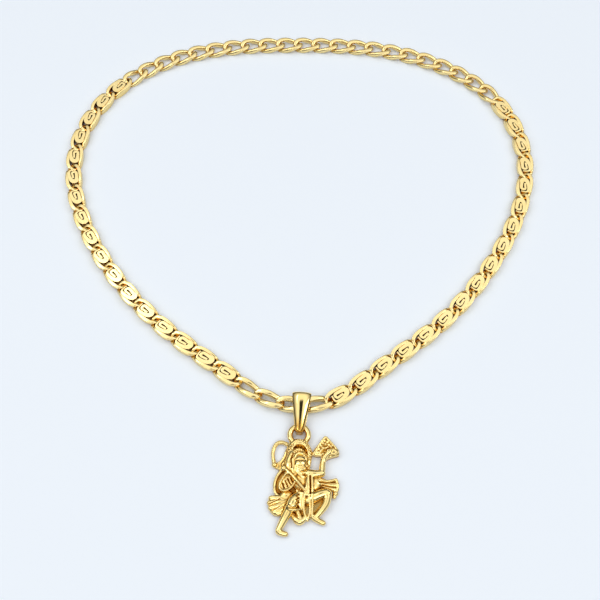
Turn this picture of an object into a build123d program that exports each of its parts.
from build123d import *
from math import asin, cos, degrees, exp, hypot, radians, sin
import os

# Gold necklace lying flat: a closed chain of scroll links and curb links, a tapered bail that
# the chain runs through, and a cast relief pendant whose ring hangs on the bail.
# Millimetres, +Z up, the surface it lies on is z = 0, the pendant points to -Y.

# Chain
scroll_pitch = 9.35          # length that one scroll link adds to the chain
scroll_wire = 1.3
scroll_width = 6.1
curb_pitch = 7.15            # plain curb links along the back
curb_wire = 1.9
curb_width = 6.5
open_pitch = 8.2             # plain open links beside and under the bail
open_wire = 1.3
open_width = 5.5
chain_thickness = 2.6        # links are filed flat to this height
link_gap = 0.25              # clearance between two links that hook together
open_links_left = 3
scroll_links_left = 17
curb_links_back = 22
scroll_links_right = 17
open_links_right = 1
first_joint = -1.2           # where the first joint lies along the route, from the bail

# Curl of flat strip inside a scroll link
curl_height = 2.2
curl_slit = 0.32
curl_side_gap = 0.3          # clearance from the link's long sides
curl_end_gap = 0.32          # clearance from the links that hook in at both ends

# Bail, and how the chain and the ring sit in it
bail_top_width = 6.6
bail_tip_width = 2.7
bail_wall = 0.75
bail_tip_extra = 0.2         # thicker metal at the tip
bail_turn = -4.0             # degrees about Z
chain_gap = 0.2              # clearance under the chain
chain_headroom = 0.6         # clearance over the chain
chain_edge_gap = 0.85        # clearance behind the chain, at the fold
fold_bend = 1.6              # outside radius of the two bends at the fold
ring_gap = 0.25              # clearance over and under the ring at the tip
ring_play = 0.7              # how far the ring stands off the tip
bail_reach = 8.9             # from the chain's middle to the tip
lift_run = 12.0              # the chain comes down from the bail within about twice this run

# Ring soldered to the halo
ring_radius = 3.0
ring_wire = 1.85
ring_solder = 1.3            # how deep the ring reaches over the halo

# Figure
figure_width = 23.5
figure_height = 33.0
figure_x = 0.95              # middle of its width
relief = 4.4                 # height that the relief's shares refer to
web = 1.5                    # thickness of the metal behind the figure

# Route of the chain, clockwise from the bail; its length is scaled to the links'
route_points = [
    (0.0, 0.8),
    (-8.3, 2.1),
    (-25.1, 12.6),
    (-47.6, 30.0),
    (-66.6, 50.7),
    (-80.5, 75.2),
    (-85.8, 102.7),
    (-76.9, 129.1),
    (-55.9, 147.6),
    (-29.1, 155.9),
    (-1.0, 157.4),
    (27.2, 155.7),
    (54.1, 147.5),
    (75.8, 129.9),
    (84.8, 103.6),
    (79.6, 76.0),
    (65.8, 51.5),
    (47.2, 30.4),
    (24.8, 12.8),
    (8.3, 1.9),
]

# Form of a link, as shares: the flat end to the half width, the knee to the half length, the
# rise of an end to the wire and its gap, and the bend at an end to the end's own slant
end_share = 0.5
knee_share = 0.5
rise_share = 1.05
bend_share = 0.5
side_bend = 2.8              # radius of the bend between a long side and an end


def half_link(pitch, wire, width):
    """Half of a link's wire, from the middle of one side round the trailing end."""
    length = (pitch + wire + link_gap) / 2
    side = (width - wire) / 2
    rise = (wire + link_gap) / 2 * rise_share
    end = end_share * side
    knee = knee_share * length
    bend = bend_share * hypot(2 * end, 2 * rise)
    with BuildPart() as half:
        with BuildLine() as path:
            FilletPolyline(
                (0, side, 0),
                (-knee, side, rise),
                (-length, end, rise),
                (-length, -end, -rise),
                (-knee, -side, -rise),
                (0, -side, 0),
                radius=[side_bend, bend, bend, side_bend],
            )
        with BuildSketch(Plane(origin=path.wire() @ 0, z_dir=path.wire() % 0)):
            Circle(wire / 2)
        sweep(path=path.wire())
    return half.part


def oval_link(pitch, wire, width):
    """Twisted oval of wire, filed flat above and below."""
    half = half_link(pitch, wire, width)
    with BuildPart() as link:
        add(half)
        add(half, rotation=(0, 0, 180))
        with BuildSketch(Plane.XY.offset(-chain_thickness / 2)):
            Rectangle(2 * (pitch + wire), 2 * width)
        extrude(amount=chain_thickness, mode=Mode.INTERSECT)
    return link.part


# The curl is a strip bent back on itself. Its slit is given as shares of its length and width
curl_length = scroll_pitch - 2 * (curb_wire + curl_end_gap)
curl_width = scroll_width - 2 * (scroll_wire + curl_side_gap)
curl_strip = (curl_width - curl_slit) / 2
slit_route = [(0.25, 0.0), (-0.26, 0.0), (-0.40, 0.6)]


def scroll_link(pitch, wire, width):
    """Oval link with a curl of the same metal inside it, soldered near its trailing end."""
    oval = oval_link(pitch, wire, width)
    solder_x = -pitch / 2 + curb_wire + link_gap + curl_strip / 2
    solder_y = -(width - wire) / 2
    root_x = (curl_width - curl_length) / 2
    root_y = -(curl_width - curl_strip) / 2
    with BuildPart() as link:
        add(oval)
        with BuildSketch(Plane.XY.offset(-curl_height / 2)):
            SlotOverall(curl_length, curl_width)
            with BuildLine():
                Line((root_x, root_y), (solder_x, solder_y))
            trace(line_width=curl_strip)
            with BuildLine():
                Polyline([(curl_length * along, curl_width * across) for along, across in slit_route])
            trace(line_width=curl_slit, mode=Mode.SUBTRACT)
        extrude(amount=curl_height)
    return link.part


# Chain: every link spans two joints on the route
kinds = (
    ["open"] * open_links_left
    + ["scroll"] * scroll_links_left
    + ["curb"] * curb_links_back
    + ["scroll"] * scroll_links_right
    + ["open"] * open_links_right
)
pitch_of = {"open": open_pitch, "scroll": scroll_pitch, "curb": curb_pitch}
chain_length = sum(pitch_of[kind] for kind in kinds)

drawn_route = Spline(*route_points, periodic=True)
route_scale = chain_length / drawn_route.length
route = scale(drawn_route, by=route_scale).edge()

# The chain clears the bail's back wall at the bail's edges and comes down beyond them
lift_at_bail = (bail_wall + chain_gap) * exp(bail_top_width / 2 / lift_run)


def joint_at(distance):
    """Place on the route, raised near the bail."""
    along = (distance + first_joint) % chain_length
    point = route.position_at(along, position_mode=PositionMode.LENGTH)
    from_bail = min(along, chain_length - along)
    lift = lift_at_bail * exp(-from_bail / lift_run)
    return Vector(point.X, point.Y, lift + chain_thickness / 2)


def link_location(start, end):
    """Place of a link that spans two joints, its length along the chain."""
    along = end - start
    across = Vector(-along.Y, along.X, 0)
    return Plane(origin=(start + end) / 2, x_dir=along, z_dir=along.cross(across)).location


shapes = {
    "open": oval_link(open_pitch, open_wire, open_width),
    "scroll": scroll_link(scroll_pitch, scroll_wire, scroll_width),
    "curb": oval_link(curb_pitch, curb_wire, curb_width),
}
placed = {"scroll_links": [], "curb_links": []}
distance = 0
for kind in kinds:
    place = link_location(joint_at(distance), joint_at(distance + pitch_of[kind]))
    node = "curb_links" if kind == "curb" else "scroll_links"
    placed[node].append(place * shapes[kind])
    distance += pitch_of[kind]

with BuildPart() as scroll_links:
    add(Compound(placed["scroll_links"]))
with BuildPart() as curb_links:
    add(Compound(placed["curb_links"]))

# Bail: a folded strip, seen from the side as a closed loop, tapered as seen from above
chain_y = (route @ 0).Y
bail_depth = 2 * bail_wall + chain_gap + chain_thickness + chain_headroom
bail_tip_depth = 2 * bail_wall + ring_wire + 2 * ring_gap
tip_y = -bail_reach
fold_y = chain_y + open_width / 2 + chain_edge_gap + bail_wall
tip_radius = bail_tip_depth / 2
shoulder_y = chain_y - open_width / 2 - chain_gap
bends = [
    (fold_y - fold_bend, fold_bend),
    (fold_y - fold_bend, bail_depth - fold_bend),
    (shoulder_y, bail_depth - fold_bend),
]
bail_plane = Plane.XY.rotated((0, 0, bail_turn))
bail_side = Plane(origin=(0, 0, 0), x_dir=bail_plane.y_dir, z_dir=bail_plane.x_dir)


def strip_outline(inset, tip_shift):
    """Side view of the folded strip, or of the space inside it."""
    with BuildSketch(bail_side) as outline:
        with Locations((tip_y + tip_radius + tip_shift, tip_radius)):
            Circle(tip_radius - inset)
        with Locations(bends):
            Circle(fold_bend - inset)
        make_hull()
    return outline.sketch


edge_x = bail_top_width / 2
tip_round_y = tip_y + bail_tip_width / 2
strip = strip_outline(0, 0)
strip_space = strip_outline(bail_wall, bail_tip_extra)

with BuildPart() as bail:
    extrude(strip, amount=bail_top_width, both=True)
    extrude(strip_space, amount=bail_top_width, both=True, mode=Mode.SUBTRACT)
    with BuildSketch(bail_plane):
        with BuildLine():
            Polyline(
                (-bail_tip_width / 2, tip_round_y),
                (-edge_x, fold_y),
                (edge_x, fold_y),
                (bail_tip_width / 2, tip_round_y),
            )
            ThreePointArc(
                (bail_tip_width / 2, tip_round_y),
                (0, tip_y),
                (-bail_tip_width / 2, tip_round_y),
            )
        make_face()
    extrude(amount=bail_depth, mode=Mode.INTERSECT)

# Ring in the bail's tip, and the figure that it is soldered to
ring_y = tip_y + bail_wall + bail_tip_extra + ring_play + ring_wire / 2 - ring_radius
ring_x = bail_reach * sin(radians(bail_turn))
ring_z = bail_tip_depth / 2
halo_top = 0.04
figure_y = ring_y - ring_radius + ring_solder + halo_top * figure_height

# Every table below gives places as shares of the figure's width, from its middle, and of its
# height, down from its top. Heights and radii are shares of the relief


def spot(u, v, h=0.0):
    """Point of the figure from its shares."""
    return Vector(figure_x + u * figure_width, figure_y - v * figure_height, h * relief)


# Outline of the metal behind the figure, clockwise from the halo: u, v
web_outline = [
    (-0.07, 0.04),
    (0.04, 0.06),
    (0.10, 0.17),
    (0.27, 0.19),
    (0.28, 0.30),
    (0.27, 0.37),
    (0.23, 0.41),
    (0.42, 0.44),
    (0.46, 0.49),
    (0.46, 0.55),
    (0.36, 0.56),
    (0.34, 0.62),
    (0.22, 0.77),
    (0.10, 0.81),
    (0.02, 0.85),
    (-0.06, 0.87),
    (-0.13, 0.83),
    (-0.17, 0.79),
    (-0.30, 0.78),
    (-0.40, 0.80),
    (-0.47, 0.75),
    (-0.49, 0.70),
    (-0.49, 0.62),
    (-0.45, 0.59),
    (-0.34, 0.595),
    (-0.40, 0.53),
    (-0.39, 0.43),
    (-0.34, 0.34),
    (-0.42, 0.29),
    (-0.43, 0.14),
    (-0.38, 0.08),
    (-0.30, 0.06),
    (-0.22, 0.08),
]

# Openings through it, inside the loop of the tail and between the halo and the raised arm: u, v
tail_opening = [
    (-0.385, 0.12),
    (-0.35, 0.095),
    (-0.26, 0.10),
    (-0.255, 0.14),
    (-0.28, 0.20),
    (-0.33, 0.245),
    (-0.38, 0.26),
]
arm_opening = [
    (0.095, 0.205),
    (0.22, 0.20),
    (0.21, 0.325),
    (0.08, 0.33),
    (0.055, 0.29),
]

# Mountain held up in the hand: u, v
mountain_outline = [
    (0.10, 0.18),
    (0.20, 0.08),
    (0.29, 0.0),
    (0.33, 0.01),
    (0.41, 0.09),
    (0.49, 0.165),
    (0.485, 0.20),
    (0.38, 0.22),
    (0.29, 0.265),
    (0.22, 0.20),
]
mountain_height = 0.5

# Halo behind the head: an oval band, its middle u, v and its two half widths
halo_middle = (-0.065, 0.21)
halo_half_u = 0.165
halo_half_v = 0.17
halo_band = 0.4
halo_height = 0.5

# Runs of round bar: u, v, height and radius at every bend
tail = [
    (-0.24, 0.085, 0.20, 0.15),
    (-0.31, 0.055, 0.20, 0.15),
    (-0.37, 0.07, 0.20, 0.15),
    (-0.415, 0.12, 0.20, 0.15),
    (-0.425, 0.20, 0.20, 0.15),
    (-0.41, 0.285, 0.20, 0.15),
]
carrying_arm = [
    (-0.19, 0.19, 0.22, 0.30),
    (-0.33, 0.30, 0.20, 0.24),
]
raised_arm = [
    (0.07, 0.385, 0.34, 0.24),
    (0.24, 0.385, 0.31, 0.19),
    (0.265, 0.25, 0.32, 0.17),
    (0.34, 0.19, 0.42, 0.18),
    (0.43, 0.17, 0.40, 0.14),
]
left_thigh = [
    (-0.10, 0.59, 0.45, 0.40),
    (-0.165, 0.69, 0.40, 0.40),
]
left_thigh_fold = [
    (-0.05, 0.61, 0.42, 0.26),
    (-0.085, 0.70, 0.38, 0.26),
]
left_shin = [
    (-0.185, 0.72, 0.33, 0.25),
    (-0.32, 0.93, 0.22, 0.16),
]
left_foot = [
    (-0.335, 0.955, 0.19, 0.20),
    (-0.235, 0.975, 0.17, 0.18),
]
right_leg = [
    (0.08, 0.61, 0.42, 0.34),
    (0.28, 0.555, 0.42, 0.28),
    (0.15, 0.79, 0.24, 0.17),
]
right_foot = [
    (0.13, 0.815, 0.20, 0.21),
    (0.24, 0.86, 0.17, 0.18),
]
outer_scarf = [
    (-0.33, 0.36, 0.24, 0.10),
    (-0.385, 0.43, 0.24, 0.10),
    (-0.405, 0.51, 0.24, 0.10),
    (-0.385, 0.575, 0.24, 0.10),
    (-0.33, 0.61, 0.24, 0.10),
]
garland = [
    (-0.23, 0.36, 0.50, 0.10),
    (-0.11, 0.47, 0.60, 0.13),
    (0.0, 0.58, 0.56, 0.14),
]
left_sash = [
    (0.025, 0.40, 0.58, 0.13),
    (0.03, 0.60, 0.52, 0.13),
    (0.0, 0.63, 0.50, 0.12),
    (0.0, 0.74, 0.42, 0.12),
    (0.04, 0.82, 0.30, 0.12),
]
right_sash = [
    (0.085, 0.40, 0.54, 0.13),
    (0.09, 0.60, 0.50, 0.13),
    (0.085, 0.80, 0.30, 0.12),
]
runs = [
    tail,
    carrying_arm,
    raised_arm,
    left_thigh,
    left_thigh_fold,
    left_shin,
    left_foot,
    right_leg,
    right_foot,
    outer_scarf,
    garland,
    left_sash,
    right_sash,
]

# Rounded masses: u, v, height, half length, half width, lean to the left in degrees
masses = [
    (-0.06, 0.275, 0.42, 0.72, 0.46, 8),
    (-0.10, 0.19, 0.32, 0.52, 0.50, 0),
    (-0.18, 0.23, 0.18, 1.00, 0.50, -12),
    (-0.06, 0.40, 0.30, 1.12, 0.64, 8),
    (0.03, 0.52, 0.20, 1.00, 0.68, 0),
    (-0.28, 0.335, 0.40, 0.25, 0.24, 0),
    (-0.235, 0.485, 0.32, 0.74, 0.52, -50),
    (-0.08, 0.82, 0.20, 0.52, 0.38, 60),
    (0.40, 0.585, 0.22, 0.23, 0.22, 0),
]

# Fans of cloth: the gathered point, the middle of the free edge, half its width, pleats
fans = [
    (-0.25, 0.645, -0.44, 0.705, 0.075, 4),
    (0.19, 0.45, 0.43, 0.50, 0.045, 3),
]
fan_height = 0.30
fan_gather = 0.18
fan_edge = 0.23
fan_root = 0.3               # spread of the pleats at the gathered point, to that at the edge


def bar(start, start_radius, end, end_radius):
    """Round tapering bar with ball ends."""
    run = end - start
    lean = degrees(asin((start_radius - end_radius) / run.length))
    side = Plane(origin=start, x_dir=run, z_dir=run.cross(Vector(0, 0, 1)))
    with BuildPart() as solid:
        with BuildSketch(side):
            with BuildLine():
                near = CenterArc((0, 0), start_radius, 90 - lean, 90 + lean)
                far = CenterArc((run.length, 0), end_radius, 0, 90 - lean)
                Line(near @ 0, far @ 1)
                Line(near @ 1, far @ 0)
            make_face()
        revolve(axis=Axis(start, run))
    return solid.part


def egg(centre, half_length, half_width, lean):
    """Egg lying along the figure, leaning from upright."""
    long_way = Vector(-sin(radians(lean)), cos(radians(lean)), 0)
    side = Plane(origin=centre, x_dir=long_way, z_dir=long_way.cross(Vector(0, 0, 1)))
    with BuildPart() as solid:
        with BuildSketch(side):
            Ellipse(half_length, half_width)
            Rectangle(
                3 * half_length,
                2 * half_width,
                align=(Align.CENTER, Align.MAX),
                mode=Mode.SUBTRACT,
            )
        revolve(axis=Axis(centre, long_way))
    return solid.part


def pleats(gather, edge, half_width, count):
    """Starts and ends of the pleats of a fan of cloth, evenly spread."""
    run = edge - gather
    across = Vector(-run.Y, run.X, 0).normalized() * half_width
    sides = [2 * k / (count - 1) - 1 for k in range(count)]
    return [(gather + across * side * fan_root, edge + across * side) for side in sides]


# A bar ends a little thinner than the next one starts, so that no two surfaces coincide
bar_end = 0.97 * relief
raised = []
for run in runs:
    for (u0, v0, h0, r0), (u1, v1, h1, r1) in zip(run, run[1:]):
        raised.append(bar(spot(u0, v0, h0), r0 * relief, spot(u1, v1, h1), r1 * bar_end))
for u, v, h, half_length, half_width, lean in masses:
    raised.append(egg(spot(u, v, h), half_length * relief, half_width * relief, lean))
for u0, v0, u1, v1, half, count in fans:
    gather = spot(u0, v0, fan_height)
    for start, end in pleats(gather, spot(u1, v1, fan_height), half * figure_height, count):
        raised.append(bar(start, fan_gather * relief, end, fan_edge * relief))


def plate(outline):
    """Flat face inside a table's outline."""
    with BuildSketch() as face:
        with BuildLine():
            Polyline([spot(u, v) for u, v in outline], close=True)
        make_face()
    return face.sketch


halo_x_radius = halo_half_u * figure_width
halo_y_radius = halo_half_v * figure_height

with BuildPart() as hanuman_figure:
    extrude(plate(web_outline), amount=web)
    extrude(plate(tail_opening), amount=web, mode=Mode.SUBTRACT)
    extrude(plate(arm_opening), amount=web, mode=Mode.SUBTRACT)
    with BuildSketch():
        with Locations(spot(*halo_middle)):
            Ellipse(halo_x_radius, halo_y_radius)
            Ellipse(
                halo_x_radius * (1 - halo_band),
                halo_y_radius * (1 - halo_band),
                mode=Mode.SUBTRACT,
            )
    extrude(amount=halo_height * relief)
    extrude(plate(mountain_outline), amount=mountain_height * relief)
    for solid in raised:
        add(solid)
    with Locations((ring_x, ring_y, ring_z)):
        Torus(ring_radius, ring_wire / 2)
    with BuildSketch():
        Rectangle(4 * figure_height, 4 * figure_height)
    extrude(amount=-relief, mode=Mode.SUBTRACT)

# The whole necklace is centred over the origin
pieces = {
    "scroll_links": scroll_links,
    "curb_links": curb_links,
    "bail": bail,
    "hanuman_figure": hanuman_figure,
}
span = Compound([piece.part for piece in pieces.values()]).bounding_box()
home = Location((-span.center().X, -span.center().Y, 0))
os.makedirs("parts", exist_ok=True)
for name, piece in pieces.items():
    piece.part.move(home)
    piece.part.label = name
    export_step(piece.part, f"parts/{name}.step")
